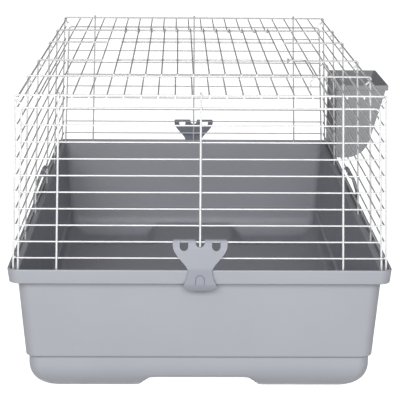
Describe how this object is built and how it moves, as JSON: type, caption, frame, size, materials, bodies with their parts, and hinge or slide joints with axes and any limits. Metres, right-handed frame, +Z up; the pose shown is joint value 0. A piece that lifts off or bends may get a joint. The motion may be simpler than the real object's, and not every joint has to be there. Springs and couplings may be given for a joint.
{
  "type": "wire rabbit cage",
  "caption": "Rectangular small-animal cage: deep plastic tray, welded wire top with a lift-up roof door, plastic clips and a side hay rack.",
  "frame": {"origin": "on the floor, under the centre of the whole cage's bounding box, hay rack and clips included", "axes": "+Z up; +Y along the cage's length, from the front end wall to the rear one; +X across it, towards the hay rack"},
  "size_m": [0.6458, 1.0084, 0.4471],
  "materials": {
    "tray": "moulded, fine satin grain",
    "wire": "smooth semi-gloss coat",
    "clip": "moulded, smooth satin",
    "rack": "moulded, smooth satin"
  },
  "bodies": {
    "cage": {"tray_pan": "tray", "tray_wall_front": "tray", "tray_wall_rear": "tray", "tray_wall_left": "tray", "tray_wall_right": "tray", "tray_corner_front_left": "tray", "tray_corner_front_right": "tray", "tray_corner_rear_left": "tray", "tray_corner_rear_right": "tray", "tray_rim_front": "tray", "tray_rim_rear": "tray", "tray_rim_left": "tray", "tray_rim_right": "tray", "front_frame": "wire", "front_uprights": "wire", "front_rails": "wire", "rear_frame": "wire", "rear_uprights": "wire", "rear_rails": "wire", "left_uprights": "wire", "left_rails": "wire", "left_top_rail": "wire", "right_uprights": "wire", "right_rails": "wire", "right_top_rail": "wire", "roof_cross_front": "wire", "roof_cross_rear": "wire", "roof_stubs_left": "wire", "roof_stubs_right": "wire", "roof_strip_left": "wire", "roof_strip_right": "wire", "roof_strip_front": "wire", "roof_strip_rear": "wire"},
    "roof_door": {"door_long_wires": "wire", "door_cross_wires": "wire"},
    "door_latch": {"door_latch": "wire"},
    "clip_front": {"clip_front": "clip"},
    "clip_rear": {"clip_rear": "clip"},
    "clip_left": {"clip_left": "clip"},
    "clip_right": {"clip_right": "clip"},
    "hay_rack": {"hay_rack": "rack", "hay_rack_hooks": "wire"}
  },
  "joints": [
    {"name": "roof_door_hinge", "type": "hinge", "parent": "cage", "child": "roof_door", "pos_m": [-0.04313, 0.276, 0.4422], "axis": [-1, 0, 0], "range_deg": [0, 170]},
    {"name": "door_latch_swing", "type": "hinge", "parent": "roof_door", "child": "door_latch", "pos_m": [0.10237, -0.131, 0.44255], "axis": [-1, 0, 0], "range_deg": [0, 110]},
    {"name": "clip_front_swing", "type": "hinge", "parent": "cage", "child": "clip_front", "pos_m": [-0.04313, -0.48935, 0.232], "axis": [-1, 0, 0], "range_deg": [0, 90]},
    {"name": "clip_rear_swing", "type": "hinge", "parent": "cage", "child": "clip_rear", "pos_m": [-0.04313, 0.48935, 0.232], "axis": [1, 0, 0], "range_deg": [0, 90]},
    {"name": "clip_left_swing", "type": "hinge", "parent": "cage", "child": "clip_left", "pos_m": [-0.30621, -0.012, 0.232], "axis": [0, 1, 0], "range_deg": [0, 90]},
    {"name": "clip_right_swing", "type": "hinge", "parent": "cage", "child": "clip_right", "pos_m": [0.21995, -0.012, 0.232], "axis": [0, -1, 0], "range_deg": [0, 90]},
    {"name": "hay_rack_lift", "type": "slide", "parent": "cage", "child": "hay_rack", "axis": [0, 0, 1], "range_m": [0, 0.012]}
  ]
}
